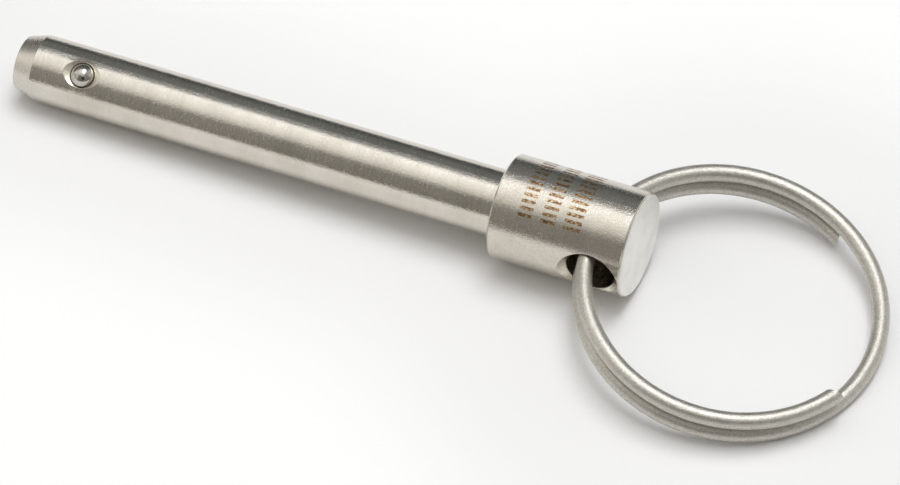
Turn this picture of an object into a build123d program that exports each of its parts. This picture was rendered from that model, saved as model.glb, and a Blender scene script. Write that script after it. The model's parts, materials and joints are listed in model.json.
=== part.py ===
"""Detent quick release pin with a split ring handle, lying at rest on a flat surface.

A ground shank is pressed into a turned head. Two balls near the tip are pushed out of one
cross bore by a small spring between them. A round wire ring of almost two turns hangs
through a countersunk cross hole near the back of the head.

Frame: the origin is the centre of the head's shoulder face, on the axis of the pin. +Z is up,
the pin lies in the XZ plane with its tip towards -X, and the axis dips towards the tip,
because the head is thicker than the shank and both touch the surface.
"""

import os
from math import acos, atan2, ceil, degrees, radians, tan

from build123d import *

os.makedirs("parts", exist_ok=True)

# Driving dimensions, in millimetres and degrees.
shank_radius = 9.525 / 2
shank_length = 73.2
ground_length = 60.0
taper_length = 2.87
tip_radius = 3.83
tip_edge_radius = 0.2
nose_relief = 0.02
press_depth = 10.0
press_taper = 0.02
press_lead = 0.4
press_mouth_edge = 0.25

head_radius = 7.44
head_length = 19.8
front_edge = 0.25
back_edge = 0.35

ring_hole_radius = 3.55
ring_hole_countersink_radius = 4.45
ring_hole_countersink_angle = 82
ring_hole_set_back = 14.97
ring_hole_roll = 93.75

ball_radius = 3.572 / 2
ball_clearance = 0.02
ball_station = 62.97
ball_roll = 30.6
ball_lip_radius = 1.75
ball_groove_radius = 1.82
ball_groove_depth = 0.15
ball_countersink_radius = 2.75
ball_countersink_angle = 125

spring_wire_radius = 0.2
spring_coil_radius = 1.2
spring_turns = 4
spring_end_gap = 0.02

ring_wire_radius = 2.38 / 2
ring_coil_radius = 20.65
ring_coil_pitch = 3.185
ring_turns = 1.753
ring_stub_length = 0.95
ring_crop_radius = 1.85
ring_bottom_end_slant = 26.5
ring_top_end_slant = 27
ring_top_end_trim = 0.7
ring_centre_behind_hole = 19.10
ring_centre_in_front = 1.90
ring_centre_height = 5.002
ring_lean_back = 9.14
ring_lean_front = 2.89
ring_end_angle = 250.0

# The pin rests on the front rim of its head and on the rim where the lead taper starts.
straight_length = shank_length - taper_length
nose_radius = shank_radius - nose_relief
rest_tilt = degrees(atan2(head_radius - nose_radius, straight_length + front_edge))
to_tip = Vector(-1, 0, 0).rotate(Axis.Y, -rest_tilt)
to_back = -to_tip
pin_up = Vector(0, 0, 1).rotate(Axis.Y, -rest_tilt)
floor_height = (to_back * front_edge - pin_up * head_radius).Z


def across_pin(roll):
    """Direction square to the pin, turned by roll from straight up towards the front."""
    return pin_up.rotate(Axis((0, 0, 0), to_back), roll)


def axis_point(distance):
    """Point on the pin's axis at a distance behind the shoulder face."""
    return to_back * distance


def wind_coil(centre, up, start, coil_radius, pitch, turns, wire_section):
    """Add a right hand coil of wire, wound upwards from the start direction.

    Each half turn is a tilted arc that leaves level, climbs half the pitch and ends level,
    so that neighbouring arcs meet on one wire section.
    """
    bottom = centre - up * (pitch * turns / 2)
    half_turns = ceil(2 * turns)
    for index in range(half_turns):
        outward = start * (-1) ** index
        along = up.cross(outward)
        section_centre = bottom + up * (index * pitch / 2) + outward * coil_radius
        arc_centre = bottom + up * ((2 * index + 1) * pitch / 4)
        arc_axis = Axis(arc_centre, (section_centre - arc_centre).cross(along))
        arc_size = min(180, 360 * turns - 180 * index)
        with BuildSketch(Plane(origin=section_centre, x_dir=outward, z_dir=along)) as section:
            add(wire_section)
        revolve(section.sketch, axis=arc_axis, revolution_arc=arc_size)


# Shank: turned profile revolved about the pin's axis. It is ground to size from the shoulder to
# the balls. The nose that holds them is relieved a hair, so that metal raised when the lips are
# rolled stays under size, and the pressed end as much, so that it starts freely in its bore.
press_radius = shank_radius - press_taper
pin_axis = Axis((0, 0, 0), to_tip)
shank_section = Plane(origin=(0, 0, 0), x_dir=to_tip, z_dir=(0, 1, 0))

# Ball bore: both halves meet at the middle. Each ends in a lip that keeps its ball in, raised by
# a punch that leaves a narrow groove round the ball and a shallow countersink outside it.
ball_direction = across_pin(ball_roll)
ball_centre_point = axis_point(-ball_station)
ball_axis = Axis(ball_centre_point, ball_direction)
ball_section = Plane(origin=ball_centre_point, x_dir=to_tip, z_dir=to_tip.cross(ball_direction))
ball_bore_radius = ball_radius + ball_clearance
lip_angle = degrees(acos(ball_lip_radius / ball_bore_radius))
countersink_slope = tan(radians(90 - ball_countersink_angle / 2))
groove_top = shank_radius - (ball_countersink_radius - ball_groove_radius) * countersink_slope
lip_height = groove_top - ball_groove_depth
ball_offset = lip_height - ball_bore_radius * (1 - (ball_lip_radius / ball_bore_radius) ** 2) ** 0.5
cutter_rise = 0.5
cutter_radius = ball_countersink_radius + cutter_rise / countersink_slope

with BuildPart() as shank:
    with BuildSketch(shank_section):
        with BuildLine():
            Polyline(
                (-press_depth, 0),
                (-press_depth, press_radius - press_lead),
                (-press_depth + press_lead, press_radius),
                (0, shank_radius),
                (ground_length, shank_radius),
                (straight_length, nose_radius),
                (shank_length, tip_radius),
                (shank_length, 0),
                close=True,
            )
        make_face()
    revolve(axis=pin_axis)
    tip_rim = shank.edges().filter_by(GeomType.CIRCLE).sort_by(pin_axis)[-1]
    fillet(tip_rim, tip_edge_radius)
    with BuildSketch(ball_section):
        with BuildLine():
            Line((0, 0), (ball_bore_radius, 0))
            Line((ball_bore_radius, 0), (ball_bore_radius, ball_offset))
            seat = CenterArc((0, ball_offset), ball_bore_radius, 0, lip_angle)
            Polyline(
                seat @ 1,
                (ball_groove_radius, lip_height),
                (ball_groove_radius, groove_top),
                (cutter_radius, shank_radius + cutter_rise),
                (0, shank_radius + cutter_rise),
                (0, 0),
            )
        make_face()
        mirror(about=Plane.XZ)
    revolve(axis=ball_axis, mode=Mode.SUBTRACT)

# Head: turned cylinder with a blind press bore in front and the ring's hole across its back.
hole_direction = across_pin(ring_hole_roll)
hole_centre = axis_point(ring_hole_set_back)

with BuildPart() as head:
    with BuildSketch(Plane(origin=(0, 0, 0), z_dir=to_back)):
        Circle(head_radius)
    extrude(amount=head_length)
    rims = head.edges().filter_by(GeomType.CIRCLE).sort_by(Axis((0, 0, 0), to_back))
    chamfer(rims[0], front_edge)
    chamfer(rims[-1], back_edge)
    with Locations(Plane(origin=(0, 0, 0), z_dir=to_tip)):
        CounterSinkHole(
            press_radius,
            shank_radius + press_mouth_edge,
            depth=press_depth,
            counter_sink_angle=90,
        )
    for side in (hole_direction, -hole_direction):
        with Locations(Plane(origin=hole_centre + side * head_radius, z_dir=side)):
            CounterSinkHole(
                ring_hole_radius,
                ring_hole_countersink_radius,
                depth=head_radius,
                counter_sink_angle=ring_hole_countersink_angle,
            )

# Balls, each seated in the rolled lip of its own end of the bore.
balls = []
for side_name, side in (("front", 1), ("back", -1)):
    with BuildPart(Plane(origin=ball_centre_point + ball_direction * side * ball_offset)) as ball:
        Sphere(ball_radius)
    ball.part.label = f"detent_ball_{side_name}"
    balls.append(ball.part)

# Spring: compression coil whose end turns nest on the two balls.
nest_radius = ball_radius + spring_wire_radius
nest_rise = (nest_radius**2 - spring_coil_radius**2) ** 0.5
spring_height = 2 * (ball_offset - nest_rise - spring_end_gap)

with BuildSketch() as spring_section:
    RegularPolygon(spring_wire_radius, side_count=6)

with BuildPart() as detent_spring:
    wind_coil(
        ball_centre_point,
        ball_direction,
        to_tip,
        spring_coil_radius,
        spring_height / spring_turns,
        spring_turns,
        spring_section.sketch,
    )

# Ring: right hand coil of almost two turns. Both ends are short straight stubs cropped at a
# slant, the bottom one facing outwards and the top one inwards. Its far side lies on the surface
# and its near side passes through the head.
ring_centre = Vector(
    hole_centre.X + ring_centre_behind_hole,
    hole_centre.Y - ring_centre_in_front,
    floor_height + ring_centre_height,
)
ring_normal = Vector(0, 0, 1).rotate(Axis.Y, ring_lean_back).rotate(Axis.X, ring_lean_front)
towards_hole = hole_centre - ring_centre
towards_hole -= ring_normal * towards_hole.dot(ring_normal)
ring_start = towards_hole.normalized().rotate(Axis((0, 0, 0), ring_normal), ring_end_angle)

with BuildSketch() as ring_section:
    Circle(ring_wire_radius)


def wire_ends(coil):
    """The two end faces of a coil, the bottom one first."""
    return coil.faces().filter_by(GeomType.PLANE).sort_by(Axis(ring_centre, ring_normal))


def crop_wire(end_face, side, slant, trim=0):
    """Run the wire on straight and crop it at a slant, so that its end turns towards a side."""
    outward = end_face.normal_at()
    turn_axis = Axis((0, 0, 0), outward.cross(side))
    crop_plane = Plane(
        origin=end_face.center() - outward * trim, z_dir=outward.rotate(turn_axis, slant)
    )
    extrude(end_face, amount=ring_stub_length)
    with Locations(crop_plane):
        Cylinder(
            ring_crop_radius,
            2 * ring_crop_radius,
            align=(Align.CENTER, Align.CENTER, Align.MIN),
            mode=Mode.SUBTRACT,
        )


with BuildPart() as split_ring:
    wind_coil(
        ring_centre,
        ring_normal,
        ring_start,
        ring_coil_radius,
        ring_coil_pitch,
        ring_turns,
        ring_section.sketch,
    )
    bottom_end, top_end = wire_ends(split_ring)
    crop_wire(bottom_end, bottom_end.center() - ring_centre, ring_bottom_end_slant)
    crop_wire(top_end, ring_centre - top_end.center(), ring_top_end_slant, ring_top_end_trim)

shank.part.label = "shank"
head.part.label = "head"
detent_spring.part.label = "detent_spring"
split_ring.part.label = "split_ring"

for piece in (shank.part, head.part, *balls, detent_spring.part, split_ring.part):
    export_step(piece, f"parts/{piece.label}.step")
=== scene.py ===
import json
from math import atan2, pi, radians

import bpy
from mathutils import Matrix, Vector


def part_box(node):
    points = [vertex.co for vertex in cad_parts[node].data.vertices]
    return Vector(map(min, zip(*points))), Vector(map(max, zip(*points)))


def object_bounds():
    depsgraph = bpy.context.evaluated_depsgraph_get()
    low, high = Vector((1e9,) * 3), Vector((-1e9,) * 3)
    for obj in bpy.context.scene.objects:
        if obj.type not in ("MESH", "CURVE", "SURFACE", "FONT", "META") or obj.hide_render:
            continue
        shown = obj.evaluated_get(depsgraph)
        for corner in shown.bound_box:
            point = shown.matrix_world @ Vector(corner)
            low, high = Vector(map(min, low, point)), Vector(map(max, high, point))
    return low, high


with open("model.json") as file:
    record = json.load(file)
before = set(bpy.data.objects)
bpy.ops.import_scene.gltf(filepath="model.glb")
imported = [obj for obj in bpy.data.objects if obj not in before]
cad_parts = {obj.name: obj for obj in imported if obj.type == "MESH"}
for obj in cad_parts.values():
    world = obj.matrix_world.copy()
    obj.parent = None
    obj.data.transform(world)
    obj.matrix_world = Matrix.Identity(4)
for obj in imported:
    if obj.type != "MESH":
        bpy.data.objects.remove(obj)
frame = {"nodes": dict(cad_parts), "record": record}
solid_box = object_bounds()

# ---------------------------------------------------------------------------------------------
# Shank: a bar of hardened stainless steel, centreless ground to size, with a short turned lead
# taper. A groove is punched round each mouth of its ball bore, in a shallow duller countersink,
# and coloured near black as painted shade in the gap at the ball. Its back end is pressed into
# the head.
# ---------------------------------------------------------------------------------------------


class Signal:
    """What one output of a node tree gives at each point. Arithmetic on it adds Math nodes."""

    def __init__(self, tree, socket=None):
        self.tree = tree
        self.socket = socket

    def node(self, kind, settings=(), sockets=(), output=0):
        """Add a node, make its settings, feed its sockets and return one of its outputs."""
        made = self.tree.nodes.new("ShaderNode" + kind)
        for name, value in dict(settings).items():
            if name == "stops":
                for spare in list(made.color_ramp.elements)[1:]:
                    made.color_ramp.elements.remove(spare)
                made.color_ramp.elements[0].position = value[0][0]
                made.color_ramp.elements[0].color = value[0][1]
                for position, colour in value[1:]:
                    made.color_ramp.elements.new(position).color = colour
            else:
                setattr(made, name, value)
        for name, value in dict(sockets).items():
            if isinstance(value, Signal):
                self.tree.links.new(value.socket, made.inputs[name])
            else:
                made.inputs[name].default_value = value
        return Signal(self.tree, made.outputs[output]) if made.outputs else None

    def maths(self, operation, *values):
        return self.node("Math", {"operation": operation}, enumerate(values))

    def vector_maths(self, operation, *values, output="Vector"):
        return self.node("VectorMath", {"operation": operation}, enumerate(values), output)

    def __add__(self, other):
        return self.maths("ADD", self, other)

    def __radd__(self, other):
        return self.maths("ADD", other, self)

    def __sub__(self, other):
        return self.maths("SUBTRACT", self, other)

    def __rsub__(self, other):
        return self.maths("SUBTRACT", other, self)

    def __mul__(self, other):
        return self.maths("MULTIPLY", self, other)

    def __rmul__(self, other):
        return self.maths("MULTIPLY", other, self)

    def part(self, axis):
        """The X, Y or Z of a point."""
        return self.node("SeparateXYZ", {}, {0: self}, output=axis)

    def rise(self, start, end):
        """0 before start, 1 after end, and a smooth step between them."""
        return self.node(
            "MapRange",
            {"interpolation_type": "SMOOTHSTEP"},
            {"Value": self, "From Min": start, "From Max": end},
        )

    def tint(self, here, there):
        """A colour that goes from here to there as this goes from 0 to 1."""
        # The Mix node has its colours at sockets 6 and 7, and the mixed one at output 2.
        return self.node("Mix", {"data_type": "RGBA"}, {0: self, 6: here, 7: there}, output=2)


def new_finish(name):
    """A material with an empty node tree, and the signal that its first nodes hang from."""
    material = bpy.data.materials.new(name)
    material.use_nodes = True
    material.node_tree.nodes.clear()
    return material, Signal(material.node_tree)


def coat_piece(material, *nodes):
    """Put one material on the whole of each CAD node."""
    for node in nodes:
        mesh = frame["nodes"][node].data
        mesh.materials.clear()
        mesh.materials.append(material)


def steel(tree, colour, roughness, height, depth):
    """Bare metal, raised by depth, in metres, where height is 1."""
    normal = tree.node("Bump", {}, {"Strength": 1.0, "Distance": depth, "Height": height})
    surface = tree.node(
        "BsdfPrincipled",
        {},
        {
            "Base Color": colour,
            "Metallic": 1.0,
            "Roughness": roughness,
            "Normal": normal,
        },
    )
    tree.node("OutputMaterial", {}, {"Surface": surface})


def streaks(place, along_rate, across_rate, detail=3.0):
    """Noise with so many waves per metre along the pin, and so many across it."""
    scaled = place.vector_maths("MULTIPLY", place, (along_rate, across_rate, across_rate))
    return place.node(
        "TexNoise",
        {},
        {"Vector": scaled, "Scale": 1.0, "Detail": detail, "Roughness": 0.6},
    )


def grains(place, rate, detail=4.0):
    """Noise with as many waves per metre each way."""
    return streaks(place, rate, rate, detail)


def from_line(place, centre, axis):
    """The distance in metres from the straight line through a centre along an axis."""
    offset = place.vector_maths("SUBTRACT", place, centre)
    around = place.vector_maths("CROSS_PRODUCT", offset, axis)
    return place.vector_maths("LENGTH", around, output="Value")


def below_skin(place, radius, depth, edge):
    """1 where the piece is cut deeper than depth below its own round surface."""
    off_axis = from_line(place, (0, 0, 0), (1, 0, 0))
    return 1 - off_axis.rise(radius - depth - edge, radius - depth)


mounts = {mount["name"]: mount for mount in frame["record"]["mounts"]}
joints = {joint["name"]: joint for joint in frame["record"]["behaviour"]["joints"]}
to_tip = Vector(mounts["shank"]["axis"])
dip = atan2(-to_tip.z, -to_tip.x)


def pin_place(tree):
    """The point in the pin's own axes: x runs along it to the back, z is its upper side."""
    point = tree.node("TexCoord", output="Object")
    return tree.node("Mapping", {}, {"Vector": point, "Rotation": (0, dip, 0)})


shank_radius = mounts["shank"]["dims"]["r_mm"] / 1000
taper_start = 0.0703
taper_edge = 0.0001
ball_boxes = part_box("detent_ball_front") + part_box("detent_ball_back")
ball_bore_centre = sum(ball_boxes, Vector()) / len(ball_boxes)
ball_bore_axis = joints["front_ball_press"]["axis"]
groove_reach = 0.00181
punch_depth = 0.00003
punch_edge = 0.00002
bar_dark = (0.580, 0.545, 0.480, 1)
bar_pale = (0.700, 0.662, 0.595, 1)
punched_pale = (0.760, 0.715, 0.615, 1)
groove_painted_shade = (0.060, 0.045, 0.032, 1)
grinding_depth = 0.000035

ground, tree = new_finish("ground_steel")
point = tree.node("TexCoord", output="Object")
place = pin_place(tree)
pits = grains(place, rate=3000)
specks = grains(place, rate=4200, detail=2.0).rise(0.63, 0.70)
hairs = streaks(place, along_rate=3600, across_rate=240, detail=4.0)
grind = streaks(place, along_rate=9000, across_rate=160)
wander = streaks(place, along_rate=260, across_rate=130, detail=4.0)
on_taper = (-1 * place.part("X")).rise(taper_start - taper_edge, taper_start + taper_edge)
from_bore = from_line(point, ball_bore_centre, ball_bore_axis)
# Painted shade: within the groove round each ball's bore the shank is coloured near black.
in_shaded_groove = 1 - from_bore.rise(groove_reach - punch_edge, groove_reach + punch_edge)
in_countersink = below_skin(place, shank_radius, punch_depth, punch_edge) * (1 - on_taper)
skin = (hairs * 0.25 + pits * 0.20 + wander * 0.55).rise(0.30, 0.70).tint(bar_dark, bar_pale)
skin = in_countersink.tint(skin, punched_pale)
dullness = 0.09 + hairs.rise(0.3, 0.7) * 0.07 + specks * 0.16
steel(
    tree,
    colour=in_shaded_groove.tint(skin, groove_painted_shade),
    roughness=dullness + on_taper * 0.14 + in_countersink * 0.24,
    height=pits * 0.72 + specks * 0.08 + grind * (0.20 + on_taper * 0.3),
    depth=grinding_depth,
)
coat_piece(ground, "shank")

# ---------------------------------------------------------------------------------------------
# Head: a stainless cylinder, turned, drilled across for its ring and tumbled to a satin skin.
# Its end face and the countersinks of the hole are duller. Its end face is also coloured paler,
# a painted reflection of the bright table, and the bore of the hole darker, as painted shade. A
# laser has browned three rows of plain bars on its upper side.
# ---------------------------------------------------------------------------------------------
head_radius = 0.00744
head_length = 0.0198
end_edge = 0.0001
hole_centre = joints["ring_swing"]["pos_m"]
hole_axis = joints["ring_swing"]["axis"]
hole_reach = 0.00358
hole_edge = 0.00004
countersink_reach = 0.00445
countersink_edge = 0.0002
cut_depth = 0.00001
cut_edge = 0.00007
# Each row of the laser's bars: how far behind the shoulder its middle is, and half its width.
mark_rows = ((0.0049, 0.00100), (0.0083, 0.00105), (0.0118, 0.00125))
mark_row_edge = 0.00007
mark_first_roll = radians(-66)
mark_last_roll = radians(48)
mark_roll_edge = 0.01
bar_pitch = radians(7.6)
bar_share = 0.5
bar_edge = 0.10
head_dark = (0.545, 0.508, 0.446, 1)
head_pale = (0.700, 0.660, 0.588, 1)
end_sheen_dark = (0.820, 0.810, 0.775, 1)
end_sheen_pale = (0.900, 0.895, 0.860, 1)
countersink_colour = (0.740, 0.690, 0.600, 1)
hole_painted_shade = (0.560, 0.500, 0.420, 1)
burn_pale = (0.420, 0.280, 0.130, 1)
burn_dark = (0.150, 0.085, 0.045, 1)
burn_least = 0.45
burn_patches = 0.8
tumbling_depth = 0.000029

satin, tree = new_finish("turned_steel")
point = tree.node("TexCoord", output="Object")
place = pin_place(tree)
along = place.part("X")
grain = grains(place, rate=3700)
specks = grains(place, rate=4600, detail=2.0).rise(0.58, 0.68)
turning = streaks(place, along_rate=9000, across_rate=90)
mottle = grains(place, rate=420)

# The rows run round the head, and steps of roll cut each of them into bars.
roll = tree.maths("ARCTAN2", -1 * place.part("Y"), place.part("Z"))
bar_place = tree.maths("FRACT", (roll - mark_first_roll) * (1 / bar_pitch))
bars = bar_place.rise(0, bar_edge) * (1 - bar_place.rise(bar_share, bar_share + bar_edge))
bars = bars * roll.rise(mark_first_roll, mark_first_roll + mark_roll_edge)
bars = bars * (1 - roll.rise(mark_last_roll - mark_roll_edge, mark_last_roll))
rows = 0
for row, half_width in mark_rows:
    off_row = tree.maths("ABSOLUTE", along - row)
    rows = rows + (1 - off_row.rise(half_width - mark_row_edge, half_width + mark_row_edge))
scorch = grains(place, rate=2600)
marked = rows * bars * (burn_least + burn_patches * scorch.rise(0.35, 0.6))
burn = scorch.rise(0.4, 0.62).tint(burn_pale, burn_dark)

from_hole = from_line(point, hole_centre, hole_axis)
in_shaded_hole = 1 - from_hole.rise(hole_reach, hole_reach + hole_edge)
on_end = along.rise(head_length - 2 * end_edge, head_length - end_edge)
near_hole = 1 - from_hole.rise(countersink_reach, countersink_reach + countersink_edge)
in_countersink = below_skin(place, head_radius, cut_depth, cut_edge) * near_hole * (1 - on_end)
skin = (grain * 0.60 + mottle * 0.40).rise(0.28, 0.72).tint(head_dark, head_pale)
# Painted reflection: the end face is coloured much paler than the rest of the head, standing in
# for the bright table it mirrors.
skin = on_end.tint(skin, mottle.rise(0.3, 0.7).tint(end_sheen_dark, end_sheen_pale))
skin = in_countersink.tint(skin, countersink_colour)
# Painted shade: the bore of the hole is coloured darker and browner than the head.
skin = in_shaded_hole.tint(skin, hole_painted_shade)
dullness = 0.17 + specks * 0.12 + mottle * 0.04
relief = (grain * 0.76 + specks * 0.07) * (1 + on_end * 0.8 - in_countersink * 0.7)
steel(
    tree,
    colour=marked.tint(skin, burn),
    roughness=dullness + marked * 0.18 + on_end * 0.26 + in_countersink * 0.08,
    height=relief + turning * 0.1,
    depth=tumbling_depth,
)
coat_piece(satin, "head")

# ---------------------------------------------------------------------------------------------
# Balls: two polished bearing balls of hard steel, with the faint haze that handling leaves.
# The rolled lips of the shank's cross bore hold them in.
# ---------------------------------------------------------------------------------------------
ball_dark = (0.46, 0.44, 0.40, 1)
ball_pale = (0.58, 0.555, 0.51, 1)
polish_depth = 0.000002

polished, tree = new_finish("ball_steel")
haze = grains(tree.node("TexCoord", output="Object"), rate=2200)
steel(
    tree,
    colour=haze.rise(0.3, 0.7).tint(ball_dark, ball_pale),
    roughness=0.07 + haze * 0.05,
    height=haze,
    depth=polish_depth,
)
coat_piece(polished, "detent_ball_front", "detent_ball_back")

# ---------------------------------------------------------------------------------------------
# Detent spring: a compression spring of drawn stainless wire, coiled cold. It lies between the
# two balls in their bore and pushes them out.
# ---------------------------------------------------------------------------------------------
spring_dark = (0.45, 0.44, 0.42, 1)
spring_pale = (0.60, 0.59, 0.57, 1)
drawing_depth = 0.000002

drawn, tree = new_finish("spring_steel")
die_marks = grains(tree.node("TexCoord", output="Object"), rate=9000, detail=3.0)
steel(
    tree,
    colour=die_marks.rise(0.3, 0.7).tint(spring_dark, spring_pale),
    roughness=0.26 + die_marks * 0.12,
    height=die_marks,
    depth=drawing_depth,
)
coat_piece(drawn, "detent_spring")

# ---------------------------------------------------------------------------------------------
# Split ring: round stainless wire, wound almost twice round through the head's hole, cropped
# and tumbled, which leaves a fine matt grain all over it.
# ---------------------------------------------------------------------------------------------
wire_dark = (0.475, 0.455, 0.412, 1)
wire_pale = (0.630, 0.605, 0.550, 1)
wire_depth = 0.000066

wire, tree = new_finish("wire_steel")
point = tree.node("TexCoord", output="Object")
grain = grains(point, rate=3400)
specks = grains(point, rate=4600, detail=2.0).rise(0.54, 0.66)
mottle = grains(point, rate=700)
steel(
    tree,
    colour=(grain * 0.8 + mottle * 0.2).rise(0.34, 0.66).tint(wire_dark, wire_pale),
    roughness=0.40 + specks * 0.10 + mottle * 0.06,
    height=grain * 0.92 + mottle * 0.08,
    depth=wire_depth,
)
coat_piece(wire, "split_ring")

# ---------------------------------------------------------------------------------------------
# Table: a sheet of white card, with painted shade greying it close round the pin and the ring.
# Well in front of the pin it gives way to grey card, which the lower half of the bar mirrors.
# ---------------------------------------------------------------------------------------------
table_reach = 3.0
table_height = solid_box[0][2]
table_corners = ((-1, -1), (1, -1), (1, 1), (-1, 1))
ring_low, ring_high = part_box("split_ring")
ring_middle = (ring_low + ring_high) / 2
ring_reach = (ring_high.y - ring_low.y) / 2
grey_reach = 0.010
white_reach = 0.038
corner_blend = 0.02
front_grey_start = 0.060
front_grey_end = 0.400
card_white = (0.995, 0.995, 1.0, 1)
card_shaded = (0.900, 0.900, 0.905, 1)
card_grey = (0.520, 0.510, 0.490, 1)

table_mesh = bpy.data.meshes.new("table")
table_mesh.from_pydata(
    [(table_reach * x, table_reach * y, table_height) for x, y in table_corners],
    [],
    [(0, 1, 2, 3)],
)
table = bpy.data.objects.new("table", table_mesh)
bpy.context.scene.collection.objects.link(table)

card, tree = new_finish("white_card")
point = tree.node("TexCoord", output="Object")
across = point.part("Y")
from_ring = point.vector_maths(
    "DISTANCE", point, (ring_middle.x, ring_middle.y, table_height), output="Value"
)
away = tree.maths(
    "SMOOTH_MIN", tree.maths("ABSOLUTE", across), from_ring - ring_reach, corner_blend
)
# Painted shade: the card is greyer close round the pin and the ring.
tone = away.rise(grey_reach, white_reach).tint(card_shaded, card_white)
tone = (-1 * across).rise(front_grey_start, front_grey_end).tint(tone, card_grey)
paper = grains(point, rate=900)
surface = tree.node(
    "BsdfPrincipled",
    {},
    {
        "Base Color": tone,
        "Roughness": 0.6 + paper * 0.1,
        "Specular IOR Level": 0.2,
    },
)
tree.node("OutputMaterial", {}, {"Surface": surface})
table_mesh.materials.append(card)

# ---------------------------------------------------------------------------------------------
# Light: one long soft box overhead with a hot middle, a white board on the pin's tip side and a
# dim room round them. The camera's stand is a small dark patch in front.
# ---------------------------------------------------------------------------------------------
strength = 2.0
# Where each light starts and ends, by the lean in degrees or by the way sideways, from -1 to 1.
hot_front = (-14, -2)
hot_back = (20, 34)
hot_left = (-0.16, -0.04)
hot_right = (0.17, 0.34)
board_start = (0.34, 0.58)
room_start = (0.26, 0.52)
# The way to the stand's middle, and the cosines between that way and its soft rim.
stand_way = (0.300, -0.842, 0.448)
stand_rim = (0.950, 0.972)

studio = bpy.data.worlds.new("studio")
bpy.context.scene.world = studio
studio.use_nodes = True
studio.node_tree.nodes.clear()
tree = Signal(studio.node_tree)
way = tree.node("TexCoord", output="Generated")
sideways = way.part("X")
lean = tree.maths("ARCTAN2", way.part("Y"), way.part("Z")) * (180 / pi)


def light(*colour):
    """A light's colour as the world's nodes hold it, before its strength multiplies it."""
    return (*(value / strength for value in colour), 1)


def glow(*stops):
    """A ramp of light by the lean in degrees: 0 is overhead, 90 behind and -90 in front."""
    return tree.node(
        "ValToRGB",
        {"stops": [(0.5 + at / 360, light(*colour)) for at, *colour in stops]},
        {0: 0.5 + lean * (1 / 360)},
    )


box_glow = glow(
    (-180, 0.25, 0.25, 0.25),
    (-95, 0.28, 0.27, 0.26),
    (-90, 0.22, 0.21, 0.20),
    (-80, 0.25, 0.24, 0.22),
    (-65, 0.26, 0.25, 0.23),
    (-52, 0.25, 0.24, 0.22),
    (-47, 0.25, 0.24, 0.22),
    (-42, 0.32, 0.31, 0.29),
    (-38, 0.50, 0.49, 0.46),
    (-32, 0.78, 0.77, 0.73),
    (-22, 1.00, 0.99, 0.95),
    (-12, 1.18, 1.17, 1.13),
    (9, 1.40, 1.40, 1.37),
    (14, 1.50, 1.51, 1.51),
    (18, 1.50, 1.51, 1.53),
    (20, 1.02, 1.03, 1.05),
    (23, 0.52, 0.53, 0.54),
    (28, 0.25, 0.26, 0.26),
    (38, 0.21, 0.22, 0.22),
    (52, 0.19, 0.20, 0.20),
    (66, 0.16, 0.17, 0.17),
    (77, 0.08, 0.09, 0.09),
    (99, 0.06, 0.07, 0.07),
    (180, 0.25, 0.25, 0.25),
)
board_glow = glow(
    (-180, 0.45, 0.44, 0.42),
    (-85, 0.60, 0.58, 0.55),
    (-55, 0.72, 0.70, 0.66),
    (-30, 0.95, 0.93, 0.89),
    (-12, 1.05, 1.03, 0.98),
    (0, 1.00, 0.98, 0.94),
    (10, 0.80, 0.79, 0.76),
    (22, 0.42, 0.41, 0.40),
    (36, 0.26, 0.26, 0.25),
    (60, 0.14, 0.14, 0.14),
    (110, 0.16, 0.16, 0.16),
    (180, 0.45, 0.44, 0.42),
)
room_glow = glow(
    (-180, 0.30, 0.29, 0.28),
    (-60, 0.28, 0.27, 0.26),
    (-20, 0.36, 0.36, 0.34),
    (10, 0.62, 0.62, 0.60),
    (50, 0.70, 0.70, 0.69),
    (100, 0.60, 0.60, 0.59),
    (180, 0.30, 0.29, 0.28),
)
hot_light = light(6.88, 6.90, 7.00)
stand_shade = light(0.090, 0.072, 0.064)
backdrop = light(0.90, 0.90, 0.90)

hot_middle = lean.rise(*hot_front) * (1 - lean.rise(*hot_back))
hot_middle = hot_middle * sideways.rise(*hot_left) * (1 - sideways.rise(*hot_right))
on_stand = way.vector_maths("DOT_PRODUCT", way, stand_way, output="Value").rise(*stand_rim)
lit = (-1 * sideways).rise(*board_start).tint(box_glow, board_glow)
lit = sideways.rise(*room_start).tint(lit, room_glow)
lit = hot_middle.tint(lit, hot_light)
lit = on_stand.tint(lit, stand_shade)
lit = tree.node("LightPath", output="Is Camera Ray").tint(lit, backdrop)
shine = tree.node("Background", {}, {"Color": lit, "Strength": strength})
tree.node("OutputWorld", {}, {"Surface": shine})

# ---------------------------------------------------------------------------------------------
# Camera: a long lens about a metre away, level from side to side. It looks down on the pin from
# its right front.
# ---------------------------------------------------------------------------------------------
camera_place = (0.26980, -0.65703, 0.84659)
camera_tilt = radians(39.732)
camera_turn = radians(22.953)
lens_length = 321.76

camera = bpy.data.objects.new("camera", bpy.data.cameras.new("camera"))
bpy.context.scene.collection.objects.link(camera)
camera.location = camera_place
camera.rotation_euler = (camera_tilt, 0, camera_turn)
camera.data.sensor_width = 36
camera.data.lens = lens_length
camera.data.clip_start = 0.05
camera.data.clip_end = 50
bpy.context.scene.camera = camera
bpy.context.scene.view_settings.view_transform = "Standard"

# Bring the scene up to date.
bpy.context.view_layer.update()
